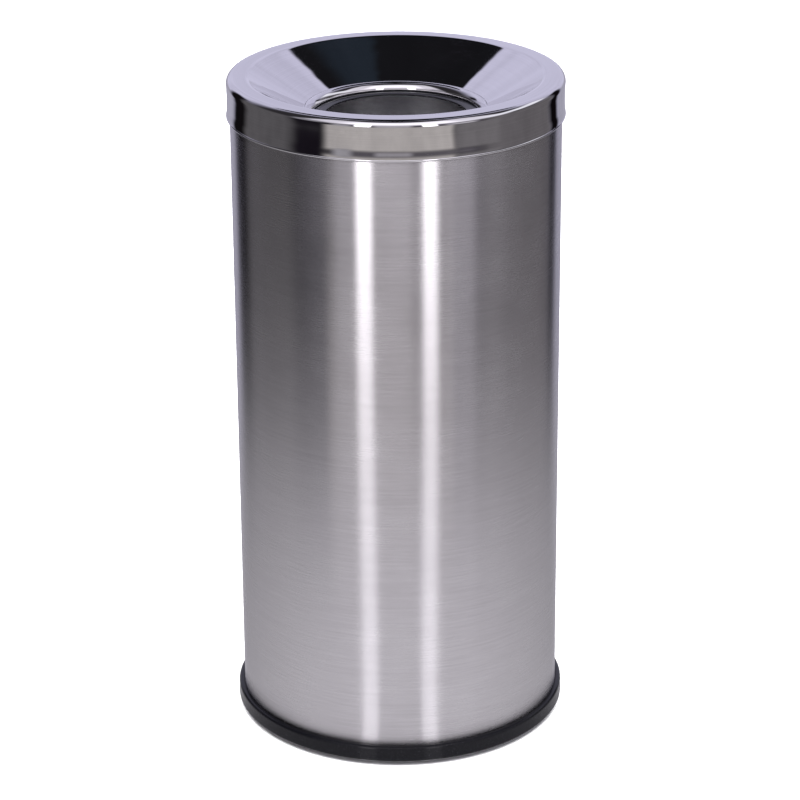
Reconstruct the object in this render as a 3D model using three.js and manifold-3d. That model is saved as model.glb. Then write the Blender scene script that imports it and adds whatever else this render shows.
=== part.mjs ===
// Round open-top litter bin: a brushed steel body on a plastic edge ring, a dished lid with a
// round mouth, and a lift-out steel liner with two drop handles.
// Millimetres. +Z is up, the origin is on the floor under the middle of the bin, -Y is the front.

import * as THREE from 'three';
import { mergeVertices } from 'three/addons/utils/BufferGeometryUtils.js';
import Module from 'manifold-3d';

const wasm = await Module();
wasm.setup();

// ---- Driving dimensions ---------------------------------------------------------------------

const FACETS = 48; // flats round every large turned part, so that neighbours keep an even gap
const SMALL_FACETS = 12; // flats round a rivet
const GAP = 0.3; // clearance between parts that touch

const BIN_HEIGHT = 610; // floor to the crown of the lid
const BODY_RADIUS = 147.8;
const BODY_SHEET = 0.8;
const BODY_TOP = 607.2;

const RING_RADIUS = 153.4; // plastic ring round the foot
const RING_HEIGHT = 19.6;
const RING_WEB = 5.2; // plastic under the body's lower edge, measured from the floor
const RING_WALL = 3; // inner wall of the channel
const RING_FOOT = 8; // width of the flat foot inside the channel
const RING_LIFT = 4; // the outer wall stops this far above the floor
const RING_EDGE = 3; // radius of the outer lower edge
const RING_SHOULDER = 3; // radius of the outer upper edge
const RING_WAIST = 0.6; // the outer wall steps in by this much under the shoulder

const BASE_PLATE_Z = 13;
const BASE_SHEET = 1;
const BASE_FLANGE = 15;
const PAN_RAISED_RADIUS = 88; // raised middle of both pressed bottoms
const PAN_RAISED_HEIGHT = 2;
const PAN_SLOPE_WIDTH = 4;
const PAN_BEND = 3;

const HOOP_HEIGHT = 20;
const HOOP_SHEET = 1.2;
const SEAM_STRIP_ANGLE = 8; // degrees round the tube

const LID_SHEET = 0.8;
const LID_BOTTOM = 573.2; // lower edge of the skirt
const SKIRT_RADIUS = 150;
const BEAD_RADIUS = 1.5; // rolled edge of the skirt
const BEAD_PROUD = 1.1; // the rolled edge stands this far outside the skirt
const BEAD_FLARE = 9; // height over which the skirt widens to the rolled edge
const CORNER_RADIUS = 6.3; // between skirt and crown
const CORNER_BULGE = 0.5; // the corner stands this far outside the skirt
const CREASE_RADIUS = 8; // between the level crown and the funnel
const CREASE_CENTRE = 134.2; // from the axis; the crown is level outside it
const FUNNEL_SLOPE = 31; // degrees below level

const MOUTH_RADIUS = 74.1; // at the narrowest
const MOUTH_CREST = 580.2; // height of the lip's top
const MOUTH_LIP = 6.5; // radius of the lip's section
const NECK_FILLET = 1.2; // between funnel and lip
const NECK_ANGLE = 80; // degrees round the lip, where the fillet meets it

const THROAT_RADIUS = 64.5;
const THROAT_FLANGE = 15;
const THROAT_THICKNESS = 1.5;

const LINER_RADIUS = 139.5;
const LINER_SHEET = 0.6;
const LINER_BOTTOM = 17.6;
const LINER_TOP = 584;
const LINER_FLANGE = 12;
const RIM_ROLL = 2.9;
const RIM_WIRE = 2;

const PAD_COUNT = 3; // rubber pads that the liner stands on
const PAD_RADIUS = 12;
const PAD_CIRCLE = 112;
const PAD_CHAMFER = 0.6;
const FIRST_PAD_AZIMUTH = 30; // degrees from +X
const PAD_FACETS = 24;

const HANDLE_WIRE = 2.5; // radius
const HANDLE_SECTION = 10; // corners of the wire's section
const HANDLE_STEPS = 40;
const HANDLE_HALF_WIDTH = 42;
const HANDLE_DROP = 40;
const HANDLE_BEND = 10;
const PIVOT_RADIUS = 127.5; // from the bin's axis to the handle's pivot
const PIVOT_Z = 552;

const BRACKET_SHEET = 1.2;
const BRACKET_WIDTH = 36;
const BRACKET_BELOW = 22; // from the pivot to the plate's lower edge
const BRACKET_STANDOFF = 2; // between the plate and the liner's wall
const RIVET_SHANK = 2; // radius
const RIVET_HEAD = 4; // radius
const RIVET_DOME = 1.6;
const RIVET_TAIL = 1.2;
const RIVET_EDGE = 8; // from the plate's lower edge to the rivets
const RIVET_SPACING = 22;

// ---- Materials ------------------------------------------------------------------------------

const BRUSHED_STEEL = [0x9c9a9b, 0.38, 1];
const POLISHED_STEEL = [0xb9b6c2, 0.08, 1];
const GALVANISED = [0x8f9296, 0.5, 0.9];
const BRIGHT_WIRE = [0xa8a8a8, 0.3, 1];
const BLACK_PLASTIC = [0x101013, 0.25, 0];
const RUBBER = [0x1a1a1a, 0.85, 0];

function addMesh(parent, name, geometry, [color, roughness, metalness]) {
  const material = new THREE.MeshStandardMaterial({ color, roughness, metalness });
  const mesh = new THREE.Mesh(geometry, material);
  mesh.name = name;
  parent.add(mesh);
}

// ---- Outlines and solids --------------------------------------------------------------------

const radians = THREE.MathUtils.degToRad;

// Points on a circle in the (radius, height) plane. Angle 0 points outwards and 90 points up.
function arc(radius, height, size, from, to, steps) {
  const points = [];
  for (let i = 0; i <= steps; i += 1) {
    const angle = radians(from + ((to - from) * i) / steps);
    points.push([radius + size * Math.cos(angle), height + size * Math.sin(angle)]);
  }
  return points;
}

// A sheet's closed outline, anticlockwise: the line moved by the sheet's thickness to its
// right-hand side, then the line itself walked back.
function sheetOutline(line, thickness) {
  const moved = line.map(([r, z], i) => {
    const [r0, z0] = line[Math.max(i - 1, 0)];
    const [r2, z2] = line[Math.min(i + 1, line.length - 1)];
    const before = new THREE.Vector2(r - r0, z - z0).normalize();
    const after = new THREE.Vector2(r2 - r, z2 - z).normalize();
    const along = before.clone().add(after).normalize();
    const stretch = thickness / Math.max(along.dot(i ? before : after), 0.5);
    return [r + along.y * stretch, z - along.x * stretch];
  });
  return [...moved, ...line.toReversed()];
}

// Turns an outline, which runs anticlockwise with the radius to the right, about +Z.
function turn(outline, facets = FACETS) {
  const points = outline.map(([r, z]) => new THREE.Vector2(r, z));
  if (outline[0][0] > 0) {
    points.push(points[0].clone());
  }
  return new THREE.LatheGeometry(points, facets).rotateX(Math.PI / 2);
}

// A flat band or disc with a rectangular section.
function band(inner, outer, bottom, top) {
  return turn([[inner, bottom], [outer, bottom], [outer, top], [inner, top]]);
}

// An upright plate that follows the turned parts' flats on both sides of the corner at azimuth
// degrees from +X. It reaches less than two flats.
function curvedPlate(inner, outer, azimuth, spread, bottom, top) {
  const halfFlat = 180 / FACETS;
  const endFactor = Math.cos(radians(halfFlat)) / Math.cos(radians(halfFlat - spread / 2));
  const place = (radius, degrees) => {
    const angle = radians(degrees);
    return new THREE.Vector2(radius * Math.cos(angle), radius * Math.sin(angle));
  };
  const across = (radius) => [
    place(radius * endFactor, azimuth - spread / 2),
    place(radius, azimuth),
    place(radius * endFactor, azimuth + spread / 2),
  ];
  const shape = new THREE.Shape([...across(outer), ...across(inner).toReversed()]);
  const plate = new THREE.ExtrudeGeometry(shape, { depth: top - bottom, bevelEnabled: false });
  return plate.translate(0, 0, bottom);
}

function toManifold(geometry) {
  const bare = geometry.clone();
  bare.deleteAttribute('normal');
  bare.deleteAttribute('uv');
  const merged = mergeVertices(bare, 1e-4);
  const vertProperties = new Float32Array(merged.attributes.position.array);
  const triVerts = new Uint32Array(merged.index.array);
  return new wasm.Manifold(new wasm.Mesh({ numProp: 3, vertProperties, triVerts }));
}

function subtract(geometry, cutters) {
  let solid = toManifold(geometry);
  cutters.forEach((cutter) => {
    solid = solid.subtract(toManifold(cutter));
  });
  const mesh = solid.getMesh();
  const result = new THREE.BufferGeometry();
  result.setAttribute('position', new THREE.BufferAttribute(mesh.vertProperties, 3));
  result.setIndex(new THREE.BufferAttribute(mesh.triVerts, 1));
  return result;
}

// ---- Body -----------------------------------------------------------------------------------

// Brushed sheet rolled into a tube. It stands in the plastic ring's groove.
function bodyShell() {
  return band(BODY_RADIUS - BODY_SHEET, BODY_RADIUS, RING_WEB + GAP, BODY_TOP);
}

// Flat hoop inside the top of the tube that keeps it round.
function topHoop() {
  const outer = BODY_RADIUS - BODY_SHEET - GAP;
  return band(outer - HOOP_SHEET, outer, BODY_TOP - HOOP_HEIGHT, BODY_TOP);
}

// Strip behind the tube's upright seam, at the back of the bin.
function seamStrip() {
  const outer = BODY_RADIUS - BODY_SHEET - GAP;
  const bottom = BASE_PLATE_Z + BASE_SHEET + BASE_FLANGE + GAP;
  const top = BODY_TOP - HOOP_HEIGHT - GAP;
  return curvedPlate(outer - BODY_SHEET, outer, 90, SEAM_STRIP_ANGLE, bottom, top);
}

// Upper face of a pressed disc with a raised middle and an upturned flange, from the axis out.
function panLine(radius, z, flange) {
  return [
    [0, z + PAN_RAISED_HEIGHT],
    [PAN_RAISED_RADIUS, z + PAN_RAISED_HEIGHT],
    [PAN_RAISED_RADIUS + PAN_SLOPE_WIDTH, z],
    ...arc(radius - PAN_BEND, z + PAN_BEND, PAN_BEND, -90, 0, 2),
    [radius, z + flange],
  ];
}

// Pressed disc that closes the tube, a little above its lower edge.
function basePlate() {
  const inner = BODY_RADIUS - BODY_SHEET - GAP - BASE_SHEET;
  return turn(sheetOutline(panLine(inner, BASE_PLATE_Z + BASE_SHEET, BASE_FLANGE), BASE_SHEET));
}

// Plastic channel: outer wall, web under the tube's edge, and a lower inner wall.
function baseRing() {
  const groove = BODY_RADIUS - BODY_SHEET - GAP;
  const inner = groove - RING_WALL;
  const innerTop = BASE_PLATE_Z - GAP;
  const shoulderCentre = RING_RADIUS - RING_WAIST / 3 - RING_SHOULDER;
  return turn([
    [inner - RING_FOOT, 0],
    [inner, 0],
    ...arc(RING_RADIUS - RING_EDGE, RING_LIFT + RING_EDGE, RING_EDGE, -60, 0, 3),
    [RING_RADIUS - RING_WAIST, RING_HEIGHT / 2],
    ...arc(shoulderCentre, RING_HEIGHT - RING_SHOULDER, RING_SHOULDER, 0, 90, 4),
    [BODY_RADIUS + GAP, RING_HEIGHT],
    [BODY_RADIUS + GAP, RING_WEB],
    [groove, RING_WEB],
    [groove, innerTop],
    [inner, innerTop],
    [inner, RING_WEB],
    [inner - RING_FOOT, RING_WEB],
  ]);
}

// Rubber disc bonded to the base plate.
function linerPad(index) {
  const bottom = BASE_PLATE_Z + BASE_SHEET + GAP;
  const top = LINER_BOTTOM - GAP;
  const outline = [
    [0, bottom],
    [PAD_RADIUS, bottom],
    [PAD_RADIUS, top - PAD_CHAMFER],
    [PAD_RADIUS - PAD_CHAMFER, top],
    [0, top],
  ];
  const azimuth = radians(FIRST_PAD_AZIMUTH + (360 / PAD_COUNT) * index);
  const [x, y] = [PAD_CIRCLE * Math.cos(azimuth), PAD_CIRCLE * Math.sin(azimuth)];
  return turn(outline, PAD_FACETS).translate(x, y, 0);
}

// ---- Lid ------------------------------------------------------------------------------------

// One spun sheet: the skirt's rolled edge, the skirt, the crown, the funnel and the mouth's lip.
function lidShell() {
  const cornerCentre = SKIRT_RADIUS + CORNER_BULGE - CORNER_RADIUS;
  const beadCentre = SKIRT_RADIUS + BEAD_PROUD - BEAD_RADIUS;
  const lip = [MOUTH_RADIUS + MOUTH_LIP, MOUTH_CREST - MOUTH_LIP];
  const [neck] = arc(...lip, MOUTH_LIP + NECK_FILLET, NECK_ANGLE, NECK_ANGLE, 1);
  const line = [
    ...arc(beadCentre, LID_BOTTOM + BEAD_RADIUS, BEAD_RADIUS, -190, 20, 5),
    [SKIRT_RADIUS + BEAD_PROUD / 3, LID_BOTTOM + (BEAD_FLARE * 2) / 3],
    [SKIRT_RADIUS, LID_BOTTOM + BEAD_FLARE],
    [SKIRT_RADIUS, BIN_HEIGHT - 2 * CORNER_RADIUS],
    ...arc(cornerCentre, BIN_HEIGHT - CORNER_RADIUS, CORNER_RADIUS, 0, 90, 5),
    ...arc(CREASE_CENTRE, BIN_HEIGHT - CREASE_RADIUS, CREASE_RADIUS, 90, 90 + FUNNEL_SLOPE, 4),
    ...arc(...neck, NECK_FILLET, 270 + FUNNEL_SLOPE, 180 + NECK_ANGLE, 2),
    ...arc(...lip, MOUTH_LIP, NECK_ANGLE, 180, 6).slice(1),
  ];
  return turn(sheetOutline(line.reverse(), LID_SHEET));
}

// Flat plastic ring under the mouth's lip that covers the lip's cut edge.
function throatRing() {
  const top = MOUTH_CREST - MOUTH_LIP - LID_SHEET - GAP;
  return band(THROAT_RADIUS, THROAT_RADIUS + THROAT_FLANGE, top - THROAT_THICKNESS, top);
}

// ---- Liner ----------------------------------------------------------------------------------

const rimCentre = LINER_RADIUS - LINER_SHEET + RIM_ROLL;

// Tube of galvanised sheet with its top edge rolled outwards round a wire.
function linerWall() {
  const roll = arc(rimCentre, LINER_TOP - RIM_ROLL, RIM_ROLL, 180, -100, 7);
  const line = [[LINER_RADIUS - LINER_SHEET, LINER_BOTTOM], ...roll];
  const wall = turn(sheetOutline(line, LINER_SHEET));
  return subtract(wall, [0, 180].flatMap((side) => rivetHoles(side)));
}

function rimWire() {
  return turn(arc(rimCentre, LINER_TOP - RIM_ROLL, RIM_WIRE, 0, 360, 8).slice(1));
}

// Pressed bottom with its flange inside the wall.
function linerBase() {
  const inner = LINER_RADIUS - LINER_SHEET - GAP - LINER_SHEET;
  return turn(sheetOutline(panLine(inner, LINER_BOTTOM + LINER_SHEET, LINER_FLANGE), LINER_SHEET));
}

// ---- Drop handles, drawn on the +X side and turned about Z for the other side ----------------

const plateFace = LINER_RADIUS - LINER_SHEET - BRACKET_STANDOFF; // wall side of the bracket
const rivetZ = PIVOT_Z - BRACKET_BELOW + RIVET_EDGE;

function onSide(geometry, side) {
  return geometry.rotateZ(radians(side));
}

function rivetHoles(side) {
  const [from, to] = [plateFace - 2 * RIVET_DOME, LINER_RADIUS + 2 * RIVET_TAIL];
  const radius = RIVET_SHANK + GAP;
  return [-1, 1].map((end) => {
    const hole = new THREE.CylinderGeometry(radius, radius, to - from, SMALL_FACETS);
    hole.rotateZ(Math.PI / 2).translate((from + to) / 2, (end * RIVET_SPACING) / 2, rivetZ);
    return onSide(hole, side);
  });
}

// Strap folded round the handle's wire, with a flat plate riveted to the wall.
function bracket(side) {
  const inside = HANDLE_WIRE + GAP;
  const outside = inside + BRACKET_SHEET;
  const back = plateFace - BRACKET_SHEET;
  const bottom = PIVOT_Z - BRACKET_BELOW;
  const curlEnd = 330; // degrees, where the curl closes under the wire
  const curl = (size, from, to) => arc(PIVOT_RADIUS, PIVOT_Z, size, from, to, 8);
  const outline = [
    [plateFace, bottom],
    [plateFace, PIVOT_Z + outside],
    ...curl(outside, 90, curlEnd),
    ...curl(inside, curlEnd, 90),
    [back, PIVOT_Z + inside],
    [back, bottom],
  ];
  const shape = new THREE.Shape(outline.map(([r, z]) => new THREE.Vector2(r, z)));
  const strap = new THREE.ExtrudeGeometry(shape, { depth: BRACKET_WIDTH, bevelEnabled: false });
  strap.translate(0, 0, -BRACKET_WIDTH / 2).rotateX(Math.PI / 2);
  return subtract(onSide(strap, side), rivetHoles(side));
}

// Domed head inside, shank, and flattened tail outside the wall.
function rivet(side, end) {
  const head = plateFace - BRACKET_SHEET - GAP;
  const tail = LINER_RADIUS + GAP;
  const outline = [
    [0, head - RIVET_DOME],
    [RIVET_HEAD * 0.6, head - RIVET_DOME * 0.75],
    [RIVET_HEAD, head],
    [RIVET_SHANK, head],
    [RIVET_SHANK, tail],
    [RIVET_HEAD * 0.8, tail],
    [RIVET_HEAD * 0.6, tail + RIVET_TAIL],
    [0, tail + RIVET_TAIL],
  ];
  const solid = turn(outline, SMALL_FACETS).rotateY(Math.PI / 2);
  return onSide(solid.translate(0, (end * RIVET_SPACING) / 2, rivetZ), side);
}

// Closed loop of bent wire, in the plane of the pivot. Its two ends meet inside the bracket.
function handlePath() {
  const half = HANDLE_HALF_WIDTH;
  const low = PIVOT_Z - HANDLE_DROP;
  const bend = HANDLE_BEND;
  const endGap = 0.5;
  const at = (y, z) => new THREE.Vector3(PIVOT_RADIUS, y, z);
  const path = new THREE.CurvePath();
  const straight = (...ends) => path.add(new THREE.LineCurve3(...ends));
  const corner = (...points) => path.add(new THREE.QuadraticBezierCurve3(...points));
  straight(at(endGap, PIVOT_Z), at(half - bend, PIVOT_Z));
  corner(at(half - bend, PIVOT_Z), at(half, PIVOT_Z), at(half, PIVOT_Z - bend));
  straight(at(half, PIVOT_Z - bend), at(half, low + bend));
  corner(at(half, low + bend), at(half, low), at(half - bend, low));
  straight(at(half - bend, low), at(bend - half, low));
  corner(at(bend - half, low), at(-half, low), at(-half, low + bend));
  straight(at(-half, low + bend), at(-half, PIVOT_Z - bend));
  corner(at(-half, PIVOT_Z - bend), at(-half, PIVOT_Z), at(bend - half, PIVOT_Z));
  straight(at(bend - half, PIVOT_Z), at(-endGap, PIVOT_Z));
  return path;
}

function handle(side) {
  const corners = Array.from({ length: HANDLE_SECTION }, (_, i) => {
    const angle = (2 * Math.PI * i) / HANDLE_SECTION;
    return new THREE.Vector2(HANDLE_WIRE * Math.cos(angle), HANDLE_WIRE * Math.sin(angle));
  });
  const settings = { steps: HANDLE_STEPS, extrudePath: handlePath() };
  return onSide(new THREE.ExtrudeGeometry(new THREE.Shape(corners), settings), side);
}

// ---- Assembly -------------------------------------------------------------------------------

const bin = new THREE.Group();

addMesh(bin, 'body_shell', bodyShell(), BRUSHED_STEEL);
addMesh(bin, 'body_top_hoop', topHoop(), GALVANISED);
addMesh(bin, 'body_seam_strip', seamStrip(), GALVANISED);
addMesh(bin, 'base_plate', basePlate(), GALVANISED);
addMesh(bin, 'base_ring', baseRing(), BLACK_PLASTIC);
for (let i = 0; i < PAD_COUNT; i += 1) {
  addMesh(bin, `liner_rest_pad_${i + 1}`, linerPad(i), RUBBER);
}

const lid = new THREE.Group();
addMesh(lid, 'lid_shell', lidShell(), POLISHED_STEEL);
addMesh(lid, 'lid_throat_ring', throatRing(), BLACK_PLASTIC);
bin.add(lid);

const liner = new THREE.Group();
addMesh(liner, 'liner_wall', linerWall(), GALVANISED);
addMesh(liner, 'liner_rim_wire', rimWire(), BRIGHT_WIRE);
addMesh(liner, 'liner_base', linerBase(), GALVANISED);
[['right', 0], ['left', 180]].forEach(([name, side]) => {
  addMesh(liner, `handle_bracket_${name}`, bracket(side), GALVANISED);
  addMesh(liner, `bracket_rivet_${name}_front`, rivet(side, side ? 1 : -1), BRIGHT_WIRE);
  addMesh(liner, `bracket_rivet_${name}_rear`, rivet(side, side ? -1 : 1), BRIGHT_WIRE);
  addMesh(liner, `drop_handle_${name}`, handle(side), BRIGHT_WIRE);
});
bin.add(liner);

export default bin;
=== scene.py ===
"""Looks of the round litter bin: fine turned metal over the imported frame, and a studio round it.

Metres, +Z up, origin on the floor under the middle of the bin, -Y is the front.
"""

import math

import bmesh
import bpy
from mathutils import Matrix, Vector


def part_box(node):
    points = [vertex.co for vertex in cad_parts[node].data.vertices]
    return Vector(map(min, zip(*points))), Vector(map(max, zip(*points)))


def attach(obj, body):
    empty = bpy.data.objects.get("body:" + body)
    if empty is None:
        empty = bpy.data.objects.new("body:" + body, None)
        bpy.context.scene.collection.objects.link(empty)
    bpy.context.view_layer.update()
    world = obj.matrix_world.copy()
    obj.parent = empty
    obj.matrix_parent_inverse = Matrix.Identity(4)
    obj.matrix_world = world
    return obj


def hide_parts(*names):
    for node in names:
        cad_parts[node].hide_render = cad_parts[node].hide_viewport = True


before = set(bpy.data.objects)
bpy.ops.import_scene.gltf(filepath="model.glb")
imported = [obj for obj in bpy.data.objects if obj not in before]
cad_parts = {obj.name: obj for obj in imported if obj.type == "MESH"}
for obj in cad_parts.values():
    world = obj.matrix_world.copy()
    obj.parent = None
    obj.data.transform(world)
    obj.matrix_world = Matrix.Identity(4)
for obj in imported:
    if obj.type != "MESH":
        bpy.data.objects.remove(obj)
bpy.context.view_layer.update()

MM = 0.001
SEGMENTS = 288  # round every large turned part
SMALL_SEGMENTS = 40
SHARP_ANGLE = math.radians(38)
WELD_DISTANCE = 1e-7  # vertices nearer than this become one

# ---- Sizes read from the frame, and the few that its boxes don't give -------------------------


def top(node):
    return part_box(node)[1].z


def bottom(node):
    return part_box(node)[0].z


def radius(node):
    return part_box(node)[1].x


GAP = 0.3 * MM

BODY_SHEET = 0.8 * MM
SEAM_OPENING = 0.45 * MM  # between the two edges of the rolled sheet
HOOP_SHEET = 1.2 * MM

LID_SHEET = 0.8 * MM
SKIRT_RADIUS = 150 * MM
BEAD_RADIUS = 1.5 * MM
BEAD_FLARE = 9 * MM  # height over which the skirt eases out to the bead
FLARE_REACH = 0.45  # how far it eases out, as a part of what the bead stands proud
FLARE_FOOT = 1.6  # where it ends above the lower edge, in bead radii
CORNER_RADIUS = 6.3 * MM
CORNER_BULGE = 0.5 * MM
BULGE_EASE = ((0.4, 1.7), (0, 2.4))  # part of the bulge left, and corner radii below the top
CREASE_RADIUS = 8 * MM
CREASE_CENTRE = 134.2 * MM
FUNNEL_SLOPE = 31
MOUTH_RADIUS = 74.1 * MM
MOUTH_CREST = 580.2 * MM
LIP_FACE = 8 * MM
LIP_CORNER = 2.2 * MM
LIP_TURN = 110  # degrees round the lip, where its corner meets its face
LIP_END = 172
NECK_FILLET = 1.2 * MM
NECK_ANGLE = 64  # degrees round the lip, where the fillet meets it
THROAT_FLANGE = 15 * MM

RING_WEB = 5.2 * MM
RING_WALL = 3 * MM
RING_FOOT = 8 * MM
RING_LIFT = 4 * MM
RING_EDGE = 3 * MM
RING_CORNER = 0.5 * MM  # rounding of its thin edges
RING_SHOULDER = 3 * MM
RING_WAIST = 0.6 * MM

BASE_SHEET = 1 * MM
PAN_RAISED_RADIUS = 88 * MM
PAN_RAISED_HEIGHT = 2 * MM
PAN_SLOPE_WIDTH = 4 * MM
PAN_BEND = 3 * MM

LINER_SHEET = 0.6 * MM
LINER_RADIUS = 139.5 * MM
RIM_ROLL = 2.9 * MM

HANDLE_WIRE = 2.5 * MM
HANDLE_BEND = 10 * MM
BRACKET_SHEET = 1.2 * MM
BRACKET_EDGE = 0.25 * MM

RIVET_DOME = 1.6 * MM  # height of the head
RIVET_TAIL = 1.2 * MM  # height of the flattened tail
RIVET_TAIL_WIDTH = 0.8  # of the head's
RIVET_EDGE = 0.3 * MM

# ---- Outlines --------------------------------------------------------------------------------


def arc(centre_radius, height, size, start, stop, steps):
    """(radius, height) points on a circle: 0 degrees points outwards and 90 degrees up."""
    angles = [math.radians(start + (stop - start) * i / steps) for i in range(steps + 1)]
    return [(centre_radius + size * math.cos(a), height + size * math.sin(a)) for a in angles]


def half_circle(start, stop, steps=4):
    """Points between start and stop on a half circle that turns left."""
    centre = (start + stop) / 2
    spoke = start - centre
    turns = [Matrix.Rotation(math.pi * i / steps, 2) for i in range(1, steps)]
    return [centre + turn @ spoke for turn in turns]


def sheet(line, thickness):
    """Closed outline of a sheet with round edges: the line, and the line moved to its right."""
    points = [Vector(p) for p in line]
    steps = [(b - a).normalized() for a, b in zip(points, points[1:])]
    moved = []
    for point, before, after in zip(points, steps[:1] + steps, steps + steps[-1:]):
        along = (before + after).normalized()
        stretch = thickness / max(along.dot(after), 0.5)
        moved.append(point + Vector((along.y, -along.x)) * stretch)
    if points[0].x == 0:
        moved[0].x = 0
        first_edge = []
    else:
        first_edge = half_circle(points[0], moved[0])
    return moved + half_circle(moved[-1], points[-1]) + points[::-1] + first_edge


# ---- Meshes ----------------------------------------------------------------------------------


def new_object(name, build):
    """Object from a finished bmesh, smooth except along sharp edges."""
    bmesh.ops.remove_doubles(build, verts=build.verts, dist=WELD_DISTANCE)
    bmesh.ops.recalc_face_normals(build, faces=build.faces)
    mesh = bpy.data.meshes.new(name)
    build.to_mesh(mesh)
    build.free()
    mesh.shade_smooth()
    mesh.set_sharp_from_angle(angle=SHARP_ANGLE)
    piece = bpy.data.objects.new(name, mesh)
    bpy.context.scene.collection.objects.link(piece)
    return piece


def ring_of_vertices(build, point, angles):
    r, z = point
    if r < 1e-9:
        return [build.verts.new((0, 0, z))] * len(angles)
    return [build.verts.new((r * math.cos(a), r * math.sin(a), z)) for a in angles]


def turned(name, outline, segments=SEGMENTS, opening=0):
    """Turns a closed outline about +Z. An opening, in radians, leaves a slit at the back."""
    sweep = 2 * math.pi - opening
    count = segments + 1 if opening else segments
    angles = [math.pi / 2 + opening / 2 + sweep * i / segments for i in range(count)]
    build = bmesh.new()
    rings = [ring_of_vertices(build, point, angles) for point in outline]
    for lower, upper in zip(rings, rings[1:] + rings[:1]):
        for i in range(segments):
            j = (i + 1) % count
            corners = list(dict.fromkeys((lower[i], lower[j], upper[j], upper[i])))
            if len(corners) > 2:
                build.faces.new(corners)
    if opening:
        build.faces.new([ring[0] for ring in rings])
        build.faces.new([ring[-1] for ring in rings])
    return new_object(name, build)


def extruded(name, outline, width):
    """Extrudes an outline of (x, z) points along Y, half the width to each side."""
    build = bmesh.new()
    front, back = [[build.verts.new((x, side * width / 2, z)) for x, z in outline] for side in (-1, 1)]
    for i, j in zip(range(len(outline)), list(range(1, len(outline))) + [0]):
        build.faces.new((front[i], front[j], back[j], back[i]))
    build.faces.new(front)
    build.faces.new(back)
    return new_object(name, build)


def wire(name, points, size):
    """Closed loop of round wire through the points."""
    curve = bpy.data.curves.new(name, "CURVE")
    curve.dimensions = "3D"
    curve.bevel_depth = size
    curve.bevel_resolution = 6
    spline = curve.splines.new("POLY")
    spline.points.add(len(points) - 1)
    spline.use_cyclic_u = True
    spline.use_smooth = True
    for target, point in zip(spline.points, points):
        target.co = (*point, 1)
    piece = bpy.data.objects.new(name, curve)
    bpy.context.scene.collection.objects.link(piece)
    return piece


def place(piece, body, node, slot):
    """Rides the piece on its body in place of the node, with the slot's material."""
    piece.data.materials.append(MATERIALS[slot])
    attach(piece, body)
    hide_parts(node)


# ---- Shader helpers --------------------------------------------------------------------------


class Shader:
    """A node tree with short calls that add a node, set its inputs and link them."""

    def __init__(self, tree):
        self.tree = tree
        self.tree.nodes.clear()

    def add(self, kind, inputs=None, **settings):
        node = self.tree.nodes.new(kind)
        for key, value in settings.items():
            setattr(node, key, value)
        for key, value in (inputs or {}).items():
            if isinstance(value, bpy.types.NodeSocket):
                self.tree.links.new(value, node.inputs[key])
            else:
                node.inputs[key].default_value = value
        return node

    def math(self, operation, *values):
        inputs = dict(enumerate(values))
        return self.add("ShaderNodeMath", inputs, operation=operation).outputs[0]

    def map(self, value, low, high, to_low, to_high, kind="LINEAR"):
        """Maps low..high to to_low..to_high and holds the ends."""
        inputs = {0: value, 1: low, 2: high, 3: to_low, 4: to_high}
        return self.add("ShaderNodeMapRange", inputs, interpolation_type=kind).outputs[0]

    def mix(self, factor, first, second):
        inputs = {0: factor, 6: first, 7: second}
        return self.add("ShaderNodeMix", inputs, data_type="RGBA").outputs[2]

    def noise(self, vector, scale, detail=2.0, roughness=0.5):
        inputs = {"Vector": vector, "Scale": scale, "Detail": detail, "Roughness": roughness}
        return self.add("ShaderNodeTexNoise", inputs).outputs[0]

    def bump(self, height, distance, strength=1.0, normal=None):
        inputs = {"Height": height, "Distance": distance, "Strength": strength}
        if normal:
            inputs["Normal"] = normal
        return self.add("ShaderNodeBump", inputs).outputs[0]

    def blend(self, first, second, share):
        """Mean of two values, weighted by the share of the first."""
        return self.math(
            "ADD",
            self.math("MULTIPLY", first, share),
            self.math("MULTIPLY", second, 1 - share),
        )

    def object_point(self):
        return self.add("ShaderNodeTexCoord").outputs["Object"]

    def round_tangent(self):
        """Direction round the axis, which the brushing follows."""
        return self.add("ShaderNodeTangent", direction_type="RADIAL", axis="Z").outputs[0]

    def reach(self, x, y):
        """Distance from the bin's axis."""
        return self.math("SQRT", self.math("ADD", self.math("POWER", x, 2.0), self.math("POWER", y, 2.0)))

    def wrapped(self, point, around, across):
        """Noise space for marks that run round the axis: few changes around, many across."""
        x, y, z = self.add("ShaderNodeSeparateXYZ", {0: point}).outputs
        reach = self.reach(x, y)
        parts = {
            i: self.math("MULTIPLY", self.math("DIVIDE", value, reach), around)
            for i, value in enumerate((x, y))
        }
        parts[2] = self.math("MULTIPLY", self.math("ADD", z, reach), across)
        return self.add("ShaderNodeCombineXYZ", parts).outputs[0]

    def surface(self, **inputs):
        """Principled surface. Names use _ for a blank."""
        named = {key.replace("_", " "): value for key, value in inputs.items()}
        shader = self.add("ShaderNodeBsdfPrincipled", named)
        self.add("ShaderNodeOutputMaterial", {"Surface": shader.outputs[0]})


def new_material(slot):
    material = bpy.data.materials.new(slot)
    material.use_nodes = True
    return material, Shader(material.node_tree)


# ---- Materials -------------------------------------------------------------------------------


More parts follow.
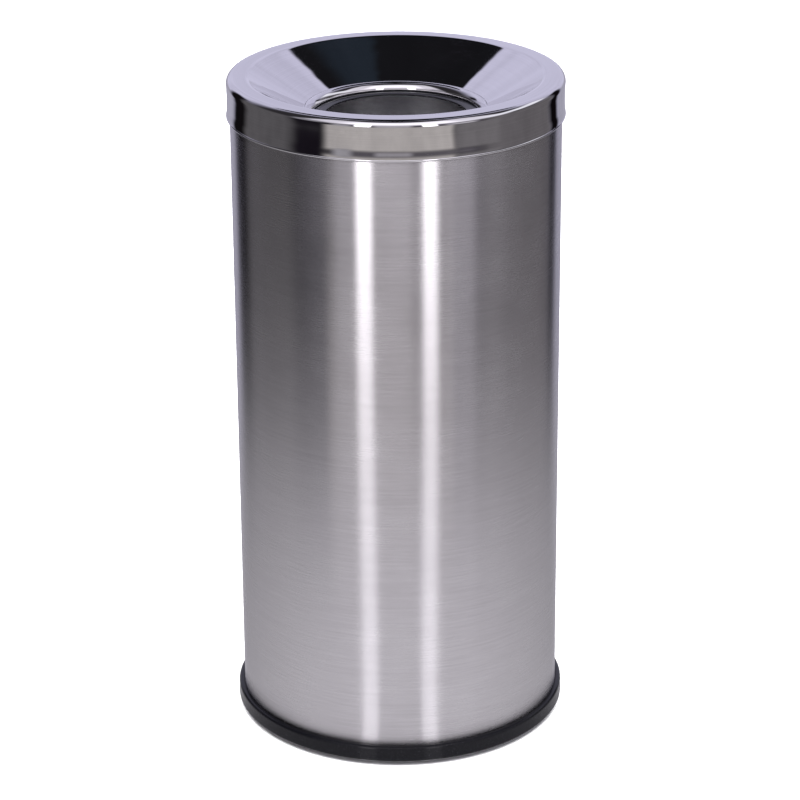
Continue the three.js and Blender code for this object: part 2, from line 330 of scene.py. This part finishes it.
def brushed_steel(slot):
    """Sheet brushed round the tube: sharp reflections across, smeared up and down."""
    material, shader = new_material(slot)
    point = shader.object_point()
    fine = shader.noise(shader.wrapped(point, 1.0, 900.0), 6.0, 3.0, 0.6)
    streak = shader.noise(shader.wrapped(point, 0.5, 120.0), 5.0, 4.0, 0.7)
    cloud = shader.noise(point, 14.0, 3.0, 0.6)
    tone = shader.blend(streak, cloud, 0.5)
    colour = shader.mix(shader.map(tone, 0.3, 0.7, 0.0, 1.0), (0.57, 0.555, 0.56, 1), (0.69, 0.675, 0.68, 1))
    roughness = shader.map(shader.math("ADD", fine, cloud), 0.6, 1.4, 0.23, 0.29)
    shader.surface(
        Base_Color=colour,
        Metallic=1.0,
        Roughness=roughness,
        Anisotropic=1.0,
        Anisotropic_Rotation=0.25,
        Tangent=shader.round_tangent(),
        Normal=shader.bump(fine, 0.012 * MM, 0.5),
    )
    return material


def polished_steel(slot):
    """Spun and buffed sheet: a mirror with faint rings, slow waves and a few smudges."""
    material, shader = new_material(slot)
    point = shader.object_point()
    rings = shader.noise(shader.wrapped(point, 0.25, 500.0), 4.0, 2.0)
    waves = shader.noise(shader.wrapped(point, 1.0, 12.0), 3.2, 1.0)
    smudge = shader.noise(point, 22.0, 4.0, 0.65)
    colour = shader.mix(shader.map(rings, 0.3, 0.7, 0.0, 1.0), (0.70, 0.69, 0.70, 1), (0.76, 0.75, 0.76, 1))
    roughness = shader.map(smudge, 0.35, 0.75, 0.02, 0.07)
    slow = shader.bump(waves, 0.6 * MM, 0.3)
    shader.surface(
        Base_Color=colour,
        Metallic=1.0,
        Roughness=roughness,
        Normal=shader.bump(rings, 0.002 * MM, 0.2, slow),
    )
    return material


def liner_steel(slot):
    """Plain rolled sheet, dull, with handling marks."""
    material, shader = new_material(slot)
    point = shader.object_point()
    grain = shader.noise(shader.wrapped(point, 3.0, 60.0), 6.0, 4.0, 0.7)
    cloud = shader.noise(point, 18.0, 3.0, 0.6)
    tone = shader.blend(grain, cloud, 0.7)
    colour = shader.mix(shader.map(tone, 0.35, 0.65, 0.0, 1.0), (0.60, 0.60, 0.62, 1), (0.74, 0.74, 0.76, 1))
    shader.surface(
        Base_Color=colour,
        Metallic=0.92,
        Roughness=shader.map(shader.math("ADD", grain, cloud), 0.7, 1.3, 0.32, 0.46),
        Anisotropic=0.8,
        Anisotropic_Rotation=0.25,
        Tangent=shader.round_tangent(),
        Normal=shader.bump(grain, 0.05 * MM, 0.4),
    )
    return material


def galvanised_steel(slot):
    """Zinc coating with its spangle."""
    material, shader = new_material(slot)
    point = shader.object_point()
    inputs = {"Vector": point, "Scale": 130.0, "Randomness": 1.0}
    crystal = shader.add("ShaderNodeTexVoronoi", inputs).outputs["Color"]
    tone = shader.add("ShaderNodeSeparateColor", {0: crystal}).outputs[0]
    fine = shader.noise(point, 900.0, 3.0)
    colour = shader.mix(tone, (0.40, 0.42, 0.44, 1), (0.58, 0.60, 0.62, 1))
    shader.surface(
        Base_Color=colour,
        Metallic=0.9,
        Roughness=shader.map(tone, 0.0, 1.0, 0.34, 0.5),
        Normal=shader.bump(fine, 0.03 * MM, 0.4),
    )
    return material


def bright_wire(slot):
    """Drawn and plated wire with fine drawing lines."""
    material, shader = new_material(slot)
    point = shader.object_point()
    lines = shader.noise(point, 600.0, 3.0, 0.6)
    cloud = shader.noise(point, 40.0, 2.0)
    colour = shader.mix(cloud, (0.55, 0.55, 0.56, 1), (0.72, 0.72, 0.73, 1))
    shader.surface(
        Base_Color=colour,
        Metallic=1.0,
        Roughness=shader.map(lines, 0.3, 0.7, 0.16, 0.3),
        Normal=shader.bump(lines, 0.02 * MM, 0.3),
    )
    return material


def black_plastic(slot):
    """Glossy extruded edge trim, faintly rippled, with settled dust."""
    material, shader = new_material(slot)
    point = shader.object_point()
    ripple = shader.noise(shader.wrapped(point, 8.0, 60.0), 5.0, 3.0)
    dust = shader.noise(point, 700.0, 2.0, 0.7)
    dusty = shader.map(dust, 0.62, 0.75, 0.0, 0.25)
    colour = shader.mix(dusty, (0.003, 0.003, 0.004, 1), (0.05, 0.05, 0.06, 1))
    shader.surface(
        Base_Color=colour,
        Roughness=shader.map(ripple, 0.3, 0.7, 0.09, 0.16),
        IOR=1.5,
        Specular_IOR_Level=0.2,
        Normal=shader.bump(ripple, 0.06 * MM, 0.35),
    )
    return material


def rubber(slot):
    """Matt rubber, finely grained."""
    material, shader = new_material(slot)
    point = shader.object_point()
    grain = shader.noise(point, 1500.0, 3.0)
    cloud = shader.noise(point, 90.0, 3.0)
    shader.surface(
        Base_Color=shader.mix(cloud, (0.012, 0.012, 0.012, 1), (0.035, 0.034, 0.033, 1)),
        Roughness=shader.map(grain, 0.3, 0.7, 0.7, 0.9),
        Normal=shader.bump(grain, 0.05 * MM, 0.6),
    )
    return material


MAKERS = (
    brushed_steel,
    polished_steel,
    liner_steel,
    galvanised_steel,
    bright_wire,
    black_plastic,
    rubber,
)
MATERIALS = {maker.__name__: maker(maker.__name__) for maker in MAKERS}

# ---- Body ------------------------------------------------------------------------------------


def body_shell():
    """Rolled tube with a butt seam at the back."""
    node = "body_shell"
    inner = radius(node) - BODY_SHEET
    line = [(inner, bottom(node)), (inner, top(node))]
    outline = sheet(line, BODY_SHEET)
    tube = turned("brushed_tube", outline, opening=SEAM_OPENING / inner)
    place(tube, "body", node, "brushed_steel")


def top_hoop():
    node = "body_top_hoop"
    inner = radius(node) - HOOP_SHEET
    hoop = turned("top_hoop_fine", sheet([(inner, bottom(node)), (inner, top(node))], HOOP_SHEET))
    place(hoop, "body", node, "galvanised_steel")


def pan_line(outer, z, rim):
    """Upper face of a pressed disc with a raised middle and an upturned flange."""
    raised = z + PAN_RAISED_HEIGHT
    slope_end = PAN_RAISED_RADIUS + PAN_SLOPE_WIDTH
    return [
        (0, raised),
        (PAN_RAISED_RADIUS - PAN_SLOPE_WIDTH, raised),
        *arc(PAN_RAISED_RADIUS - PAN_SLOPE_WIDTH / 2, raised - PAN_SLOPE_WIDTH, PAN_SLOPE_WIDTH, 90, 60, 4),
        (slope_end, z),
        (slope_end + PAN_SLOPE_WIDTH, z),
        *arc(outer - PAN_BEND, z + PAN_BEND, PAN_BEND, -90, 0, 8),
        (outer, rim),
    ]


def base_plate():
    node = "base_plate"
    line = pan_line(radius(node) - BASE_SHEET, bottom(node) + BASE_SHEET, top(node) - BASE_SHEET / 2)
    place(turned("base_plate_fine", sheet(line, BASE_SHEET)), "body", node, "galvanised_steel")


def base_ring():
    """Plastic channel with a recessed foot, a slight waist and a rounded shoulder."""
    node = "base_ring"
    outer, height = radius(node), top(node)
    tube = radius("body_shell")
    groove = tube - BODY_SHEET - GAP
    inner = groove - RING_WALL
    inner_top = bottom("base_plate") - GAP
    shoulder = outer - RING_WAIST / 3 - RING_SHOULDER
    corner = RING_CORNER
    outline = [
        *arc(inner - RING_FOOT + corner, corner, corner, 180, 270, 4),
        *arc(inner - corner, corner, corner, 270, 320, 3),
        *arc(outer - RING_EDGE, RING_LIFT + RING_EDGE, RING_EDGE, -60, 0, 10),
        (outer - RING_WAIST, height / 2),
        *arc(shoulder, height - RING_SHOULDER, RING_SHOULDER, 0, 90, 12),
        *arc(tube + GAP + corner, height - corner, corner, 90, 180, 4),
        (tube + GAP, RING_WEB),
        (groove, RING_WEB),
        *arc(groove - corner, inner_top - corner, corner, 0, 90, 4),
        *arc(inner + corner, inner_top - corner, corner, 90, 180, 4),
        (inner, RING_WEB),
        (inner - RING_FOOT, RING_WEB),
    ]
    place(turned("edge_ring", outline), "body", node, "black_plastic")


def rest_pad(node):
    """Rubber disc with a rounded upper edge."""
    low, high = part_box(node)
    size = (high.x - low.x) / 2
    edge = 0.8 * MM
    outline = [(0, low.z), (size, low.z), *arc(size - edge, high.z - edge, edge, 0, 90, 6), (0, high.z)]
    pad = turned(node + "_fine", outline, SMALL_SEGMENTS)
    centre = (low + high) / 2
    pad.data.transform(Matrix.Translation((centre.x, centre.y, 0)))
    place(pad, "body", node, "rubber")


def rim(grid):
    """Vertices round the edge of a grid of rows, in order."""
    right = [row[-1] for row in grid[1:]]
    far = grid[-1][-2::-1]
    left = [row[0] for row in grid[-2:0:-1]]
    return [*grid[0], *right, *far, *left]


def seam_strip():
    """Backing strip behind the seam, with a row of dished spot welds on each side of it."""
    node = "body_seam_strip"
    low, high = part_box(node)
    outer = high.y
    inner = outer - BODY_SHEET
    half_angle = math.asin(high.x / outer)
    columns, rows = 24, 240
    weld_pitch, weld_size, weld_depth = 25 * MM, 3 * MM, 0.35 * MM
    build = bmesh.new()

    def depth(across, z):
        offset = (z - low.z) % weld_pitch - weld_pitch / 2
        reach = math.hypot(offset, abs(across) - high.x / 2) / weld_size
        return weld_depth * max(0.0, 1 - reach * reach)

    def corner(size, i, j, dished):
        angle = math.pi / 2 + half_angle * (2 * i / columns - 1)
        z = low.z + (high.z - low.z) * j / rows
        r = size + (depth(size * math.cos(angle), z) if dished else 0)
        return build.verts.new((r * math.cos(angle), r * math.sin(angle), z))

    grids = [
        [[corner(size, i, j, dished) for i in range(columns + 1)] for j in range(rows + 1)]
        for size, dished in ((inner, True), (outer, False))
    ]
    for grid in grids:
        for j in range(rows):
            for i in range(columns):
                build.faces.new((grid[j][i], grid[j][i + 1], grid[j + 1][i + 1], grid[j + 1][i]))
    inner_rim, outer_rim = rim(grids[0]), rim(grids[1])
    count = len(inner_rim)
    for i in range(count):
        j = (i + 1) % count
        build.faces.new((inner_rim[i], inner_rim[j], outer_rim[j], outer_rim[i]))
    place(new_object("seam_strip_fine", build), "body", node, "galvanised_steel")


# ---- Lid -------------------------------------------------------------------------------------


def lip_line():
    """Mouth's lip, from its turned-down edge over its corner to the fillet of the funnel."""
    face_centre = MOUTH_RADIUS + LIP_FACE
    reach = LIP_FACE - LIP_CORNER
    turn = math.radians(LIP_TURN)
    corner = (face_centre + reach * math.cos(turn), MOUTH_CREST - LIP_CORNER)
    face = (face_centre, corner[1] - reach * math.sin(turn))
    neck = arc(*corner, LIP_CORNER + NECK_FILLET, NECK_ANGLE, NECK_ANGLE, 1)[0]
    return [
        *arc(*face, LIP_FACE, LIP_END, LIP_TURN, 20),
        *arc(*corner, LIP_CORNER, LIP_TURN, NECK_ANGLE, 12)[1:],
        *arc(*neck, NECK_FILLET, 180 + NECK_ANGLE, 270 + FUNNEL_SLOPE, 8)[1:],
    ]


def skirt_line(low, high, outer, steps=8):
    """Skirt, from under the crown's corner down to the rolled bead."""
    line = [(SKIRT_RADIUS + CORNER_BULGE * left, high - CORNER_RADIUS * down) for left, down in BULGE_EASE]
    proud = outer - SKIRT_RADIUS
    foot = low + BEAD_RADIUS * FLARE_FOOT
    for i in range(steps, -1, -1):
        ease = 0.5 + 0.5 * math.cos(math.pi * i / steps)
        line.append((SKIRT_RADIUS + proud * ease * FLARE_REACH, foot + BEAD_FLARE * i / steps))
    return line + arc(outer - BEAD_RADIUS, low + BEAD_RADIUS, BEAD_RADIUS, 20, -190, 20)


def lid_line():
    """Outer face of the spun lid, from the mouth's lip out over the crown to the skirt's bead."""
    low, high = bottom("lid_shell"), top("lid_shell")
    corner = SKIRT_RADIUS + CORNER_BULGE - CORNER_RADIUS
    return [
        *lip_line(),
        *arc(CREASE_CENTRE, high - CREASE_RADIUS, CREASE_RADIUS, 90 + FUNNEL_SLOPE, 90, 24),
        *arc(corner, high - CORNER_RADIUS, CORNER_RADIUS, 90, 0, 24),
        *skirt_line(low, high, radius("lid_shell")),
    ]


def lid():
    shell = turned("lid_spun_shell", sheet(lid_line(), LID_SHEET))
    place(shell, "lid", "lid_shell", "polished_steel")
    node = "lid_throat_ring"
    outer = radius(node)
    line = [(outer - THROAT_FLANGE, bottom(node)), (outer, bottom(node))]
    ring = turned("throat_ring_fine", sheet(line[::-1], top(node) - bottom(node)))
    # Painted shade: the throat ring is given black plastic so that it shows dark where the mouth's underside
    # lies in shade.
    place(ring, "lid", node, "black_plastic")


# ---- Liner -----------------------------------------------------------------------------------


def liner_wall():
    """Tube with its top edge rolled outwards round a wire."""
    node = "liner_wall"
    inner = LINER_RADIUS - LINER_SHEET
    roll = arc(inner + RIM_ROLL, top(node) - RIM_ROLL, RIM_ROLL, 180, -100, 28)
    line = [(inner, bottom(node)), *roll]
    wall = turned("liner_tube", sheet(line, LINER_SHEET))
    place(wall, "liner", node, "liner_steel")


def rim_wire():
    node = "liner_rim_wire"
    low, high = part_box(node)
    size = (high.z - low.z) / 2
    outline = arc(high.x - size, (low.z + high.z) / 2, size, 0, 360, 16)[1:]
    place(turned("rim_wire_fine", outline), "liner", node, "bright_wire")


def liner_base():
    node = "liner_base"
    line = pan_line(radius(node) - LINER_SHEET, bottom(node) + LINER_SHEET, top(node) - LINER_SHEET / 2)
    place(turned("liner_base_fine", sheet(line, LINER_SHEET)), "liner", node, "liner_steel")


def on_side(piece, sign):
    """Turns a piece made on the +X side to its own side."""
    if sign < 0:
        piece.data.transform(Matrix.Rotation(math.pi, 4, "Z"))
    return piece


def handle(side, sign):
    node = "drop_handle_" + side
    low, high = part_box(node)
    pivot = abs(low.x + high.x) / 2
    half = high.y - HANDLE_WIRE
    corners = [
        (half - HANDLE_BEND, high.z - HANDLE_WIRE - HANDLE_BEND, 0),
        (HANDLE_BEND - half, high.z - HANDLE_WIRE - HANDLE_BEND, 90),
        (HANDLE_BEND - half, low.z + HANDLE_WIRE + HANDLE_BEND, 180),
        (half - HANDLE_BEND, low.z + HANDLE_WIRE + HANDLE_BEND, 270),
    ]
    loop = [p for y, z, start in corners for p in arc(y, z, HANDLE_BEND, start, start + 90, 10)]
    points = [(sign * pivot, y, z) for y, z in loop]
    place(wire("handle_wire_" + side, points, HANDLE_WIRE), "handle_" + side, node, "bright_wire")


def bracket(side, sign):
    """Strap folded round the handle's wire, with a flat plate below it."""
    node = "handle_bracket_" + side
    low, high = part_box(node)
    face = max(abs(low.x), abs(high.x))
    back = face - BRACKET_SHEET
    inside = HANDLE_WIRE + GAP
    outside = inside + BRACKET_SHEET
    pivot_x = min(abs(low.x), abs(high.x)) + outside
    pivot_z = high.z - outside
    outline = [
        (face, low.z),
        *arc(face - outside, pivot_z, outside, 0, 90, 8),
        *arc(pivot_x, pivot_z, outside, 90, 330, 24),
        *arc(pivot_x, pivot_z, inside, 330, 90, 24),
        *arc(back - inside, pivot_z, inside, 90, 0, 8),
        (back, low.z),
    ]
    strap = on_side(extruded("bracket_strap_" + side, outline, high.y - low.y), sign)
    bevel = strap.modifiers.new("edges", "BEVEL")
    bevel.width = BRACKET_EDGE
    bevel.segments = 2
    bevel.limit_method = "ANGLE"
    place(strap, "liner", node, "galvanised_steel")


def rivet(side, sign, end):
    """Domed head inside, shank, and a flattened tail outside the wall."""
    node = f"bracket_rivet_{side}_{end}"
    low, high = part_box(node)
    centre = (low + high) / 2
    head_radius = (high.z - low.z) / 2
    shank_radius = head_radius / 2
    tail_radius = head_radius * RIVET_TAIL_WIDTH
    inner, outer = min(abs(low.x), abs(high.x)), max(abs(low.x), abs(high.x))
    bulge = (RIVET_DOME * RIVET_DOME + head_radius * head_radius) / (2 * RIVET_DOME)
    sweep = math.degrees(math.asin(head_radius / bulge))
    outline = [
        (0, inner),
        *arc(0, inner + bulge, bulge, -90, -90 + sweep, 10)[1:],
        (shank_radius, inner + RIVET_DOME),
        (shank_radius, outer - RIVET_TAIL),
        (tail_radius, outer - RIVET_TAIL),
        *arc(tail_radius - RIVET_EDGE, outer - RIVET_EDGE, RIVET_EDGE, 0, 90, 4),
        (0, outer),
    ]
    pin = turned(f"rivet_{side}_{end}_fine", outline, SMALL_SEGMENTS)
    pin.data.transform(Matrix.Rotation(math.pi / 2, 4, "Y"))
    on_side(pin, sign)
    pin.data.transform(Matrix.Translation((0, centre.y, centre.z)))
    place(pin, "liner", node, "bright_wire")


# ---- Studio ----------------------------------------------------------------------------------

# Cards of light and shade seen in the metal: azimuth from the front towards +X and its half
# width, elevation and its half height, softness of the edge, all in degrees, and the colour.
ROOM_DARK = (0.03, 0.028, 0.032)
CARDS = (
    ("backdrop", (180, 54), (40, 70), 24, (0.66, 0.645, 0.83)),
    ("left wall", (-104, 30), (-12, 28), 9, (0.11, 0.105, 0.112)),
    ("right wall", (95, 36), (-12, 30), 9, (0.15, 0.14, 0.15)),
    ("backdrop foot", (180, 37), (0, 50), 4, (0.66, 0.645, 0.83)),
    ("backdrop hem", (180, 37), (-26, 28), 4, (0.42, 0.41, 0.50)),
    ("ceiling", (180, 41.5), (90, 45), 1, (0.009, 0.009, 0.011)),
    ("ceiling panel", (147, 10), (78, 22), 5, (0.018, 0.024, 0.034)),
    ("left flag", (-133, 10), (-6, 30), 5, (0.006, 0.005, 0.006)),
    ("right flag", (135, 7), (-10, 30), 4, (0.004, 0.003, 0.004)),
    ("front wall", (8, 50), (20, 32), 8, (0.12, 0.11, 0.13)),
    ("front haze", (8, 75), (42, 24), 7, (0.85, 0.82, 0.92)),
    ("front box", (4, 42), (42, 17), 8, (1.45, 1.40, 1.52)),
    ("front floor", (-5, 45), (-24, 12), 4, (0.52, 0.49, 0.48)),
    ("front floor edge", (57, 17), (-24, 12), 3, (0.18, 0.17, 0.18)),
    ("left gap", (-61, 11), (-9, 12), 5, (0.010, 0.008, 0.012)),
    ("left box", (-62, 11), (18, 9), 5, (0.3, 0.29, 0.33)),
    ("right box", (98, 31), (31, 7), 4, (1.05, 1.05, 1.15)),
    ("right screen", (44, 10), (2, 8), 4, (0.55, 0.53, 0.58)),
    ("left screen", (-36, 6), (-2, 12), 4, (0.36, 0.35, 0.38)),
    ("middle box", (-2, 12), (4, 13), 3, (0.50, 0.48, 0.52)),
    ("left strip", (-22, 5.2), (9, 15), 1.5, (3.8, 3.7, 3.9)),
    ("right strip", (22.5, 4.8), (9, 15), 1.5, (3.8, 3.7, 3.9)),
)

# Glowing sheet that the metal sees on the floor, painted light seen in reflections only, with a painted
# reflection of the two strips' gleam in it.
SHEET_FADE = (0.3, 1.4)  # metres from the bin's axis
SHEET_GLOW_COLOUR = (0.75, 0.73, 0.785)
SHEET_SIDES = (50, 150)  # azimuth over which the sheet gets dimmer
SHEET_DIM = 0.62  # how much of it is left behind the bin
GLEAM_FOCUS = -0.075  # metres: its rays part from half the body's radius in front of the axis
GLEAM = (22, 5.5)  # azimuth to each side, and half width
GLEAM_SOFT = 2  # degrees to each side of its edge
GLEAM_GAIN = 0.6

FLOOR_COLOUR = (0.9, 0.9, 0.9)
FLOOR_RADIUS = 30
FLOOR_SEGMENTS = 96

LAMP_SIZE = 6
LAMP_POWER = 760
LAMP_PLACE = (0, -0.8, 4.2)


def card_mask(shader, azimuth, elevation, centre, height, soft):
    """1 inside the card and 0 outside it, with a soft edge."""
    turn = shader.math("ABSOLUTE", shader.math("SUBTRACT", azimuth, centre[0]))
    turn = shader.math("MINIMUM", turn, shader.math("SUBTRACT", 360.0, turn))
    rise = shader.math("ABSOLUTE", shader.math("SUBTRACT", elevation, height[0]))
    across = shader.map(turn, centre[1] - soft, centre[1] + soft, 1.0, 0.0, "SMOOTHSTEP")
    upward = shader.map(rise, height[1] - soft, height[1] + soft, 1.0, 0.0, "SMOOTHSTEP")
    return shader.math("MULTIPLY", across, upward)


def room():
    """The studio as the metal sees it. The camera itself sees a plain pale backdrop."""
    world = bpy.data.worlds.new("studio")
    bpy.context.scene.world = world
    world.use_nodes = True
    shader = Shader(world.node_tree)
    direction = shader.add("ShaderNodeTexCoord").outputs["Generated"]
    x, y, z = shader.add("ShaderNodeSeparateXYZ", {0: direction}).outputs
    azimuth = shader.math("DEGREES", shader.math("ARCTAN2", x, shader.math("MULTIPLY", y, -1.0)))
    elevation = shader.math("DEGREES", shader.math("ARCSINE", z))
    colour = (*ROOM_DARK, 1)
    for _, centre, height, soft, tint in CARDS:
        mask = card_mask(shader, azimuth, elevation, centre, height, soft)
        colour = shader.mix(mask, colour, (*tint, 1))
    folds = shader.map(shader.noise(direction, 5.0, 3.0, 0.55), 0.3, 0.7, 0.9, 1.1)
    colour = shader.add("ShaderNodeVectorMath", {0: colour, "Scale": folds}, operation="SCALE").outputs[0]
    seen = shader.add("ShaderNodeLightPath").outputs["Is Camera Ray"]
    colour = shader.mix(seen, colour, (1, 1, 1, 1))
    background = shader.add("ShaderNodeBackground", {"Color": colour})
    shader.add("ShaderNodeOutputWorld", {"Surface": background.outputs[0]})


def floor_material():
    """Pale floor. The metal sees a glowing sheet round the bin, painted light with a painted reflection of
    the two strips' gleam, and the room beyond it.
    """
    material, shader = new_material("pale_floor")
    x, y, _ = shader.add("ShaderNodeSeparateXYZ", {0: shader.object_point()}).outputs
    near = shader.map(shader.reach(x, y), *SHEET_FADE, 1.0, 0.0, "SMOOTHSTEP")
    azimuth = shader.math("DEGREES", shader.math("ARCTAN2", x, shader.math("SUBTRACT", GLEAM_FOCUS, y)))
    aside = shader.math("ABSOLUTE", shader.math("SUBTRACT", shader.math("ABSOLUTE", azimuth), GLEAM[0]))
    edge = (GLEAM[1] - GLEAM_SOFT, GLEAM[1] + GLEAM_SOFT)
    gleam = shader.map(aside, *edge, 1 + GLEAM_GAIN, 1.0, "SMOOTHSTEP")
    dimmed = shader.map(shader.math("ABSOLUTE", azimuth), *SHEET_SIDES, 1.0, SHEET_DIM, "SMOOTHSTEP")
    strength = shader.math("MULTIPLY", gleam, dimmed)
    # Painted light: the floor glows for glossy rays only, brighter in the painted gleam of the strips and
    # dimmer to the sides and behind.
    sheet_light = shader.add("ShaderNodeEmission", {"Color": (*SHEET_GLOW_COLOUR, 1), "Strength": strength})
    clear = shader.add("ShaderNodeBsdfTransparent")
    seen = shader.add("ShaderNodeMixShader", {0: near, 1: clear.outputs[0], 2: sheet_light.outputs[0]})
    plain = shader.add("ShaderNodeBsdfDiffuse", {"Color": (*FLOOR_COLOUR, 1)})
    glossy_ray = shader.add("ShaderNodeLightPath").outputs["Is Glossy Ray"]
    mixed = shader.add("ShaderNodeMixShader", {0: glossy_ray, 1: plain.outputs[0], 2: seen.outputs[0]})
    shader.add("ShaderNodeOutputMaterial", {"Surface": mixed.outputs[0]})
    return material


def floor():
    build = bmesh.new()
    bmesh.ops.create_circle(build, cap_ends=True, radius=FLOOR_RADIUS, segments=FLOOR_SEGMENTS)
    plane = new_object("floor", build)
    plane.data.materials.append(floor_material())


def overhead_light():
    """Broad soft light from above. The metal doesn't mirror it."""
    light = bpy.data.lights.new("overhead", "AREA")
    light.shape = "DISK"
    light.size = LAMP_SIZE
    light.energy = LAMP_POWER
    lamp = bpy.data.objects.new("overhead", light)
    lamp.location = LAMP_PLACE
    lamp.visible_camera = False
    lamp.visible_glossy = False
    bpy.context.scene.collection.objects.link(lamp)


CAMERA_DISTANCE = 2.5813  # metres in front of the axis
CAMERA_HEIGHT = 1.3224
CAMERA_PITCH = 21.63  # degrees below the horizon
CAMERA_TURN = -0.041
CAMERA_ROLL = -0.39
CAMERA_LENS = 135.47  # mm, on a sensor of the width below
CAMERA_SENSOR = 36


def camera():
    data = bpy.data.cameras.new("camera")
    data.sensor_width = CAMERA_SENSOR
    data.lens = CAMERA_LENS
    eye = bpy.data.objects.new("camera", data)
    place_at = Matrix.Translation((0, -CAMERA_DISTANCE, CAMERA_HEIGHT))
    turn = Matrix.Rotation(math.radians(CAMERA_TURN), 4, "Z")
    pitch = Matrix.Rotation(math.radians(90 - CAMERA_PITCH), 4, "X")
    roll = Matrix.Rotation(math.radians(CAMERA_ROLL), 4, "Z")
    eye.matrix_world = place_at @ turn @ pitch @ roll
    bpy.context.scene.collection.objects.link(eye)
    bpy.context.scene.camera = eye


def exposure():
    settings = bpy.context.scene.view_settings
    settings.view_transform = "Standard"
    settings.look = "None"


# ---- Assembly --------------------------------------------------------------------------------

body_shell()
top_hoop()
seam_strip()
base_plate()
base_ring()
for number in (1, 2, 3):
    rest_pad(f"liner_rest_pad_{number}")
lid()
liner_wall()
rim_wire()
liner_base()
for side, sign in (("right", 1), ("left", -1)):
    handle(side, sign)
    bracket(side, sign)
    for end in ("front", "rear"):
        rivet(side, sign, end)

room()
floor()
overhead_light()
camera()
exposure()
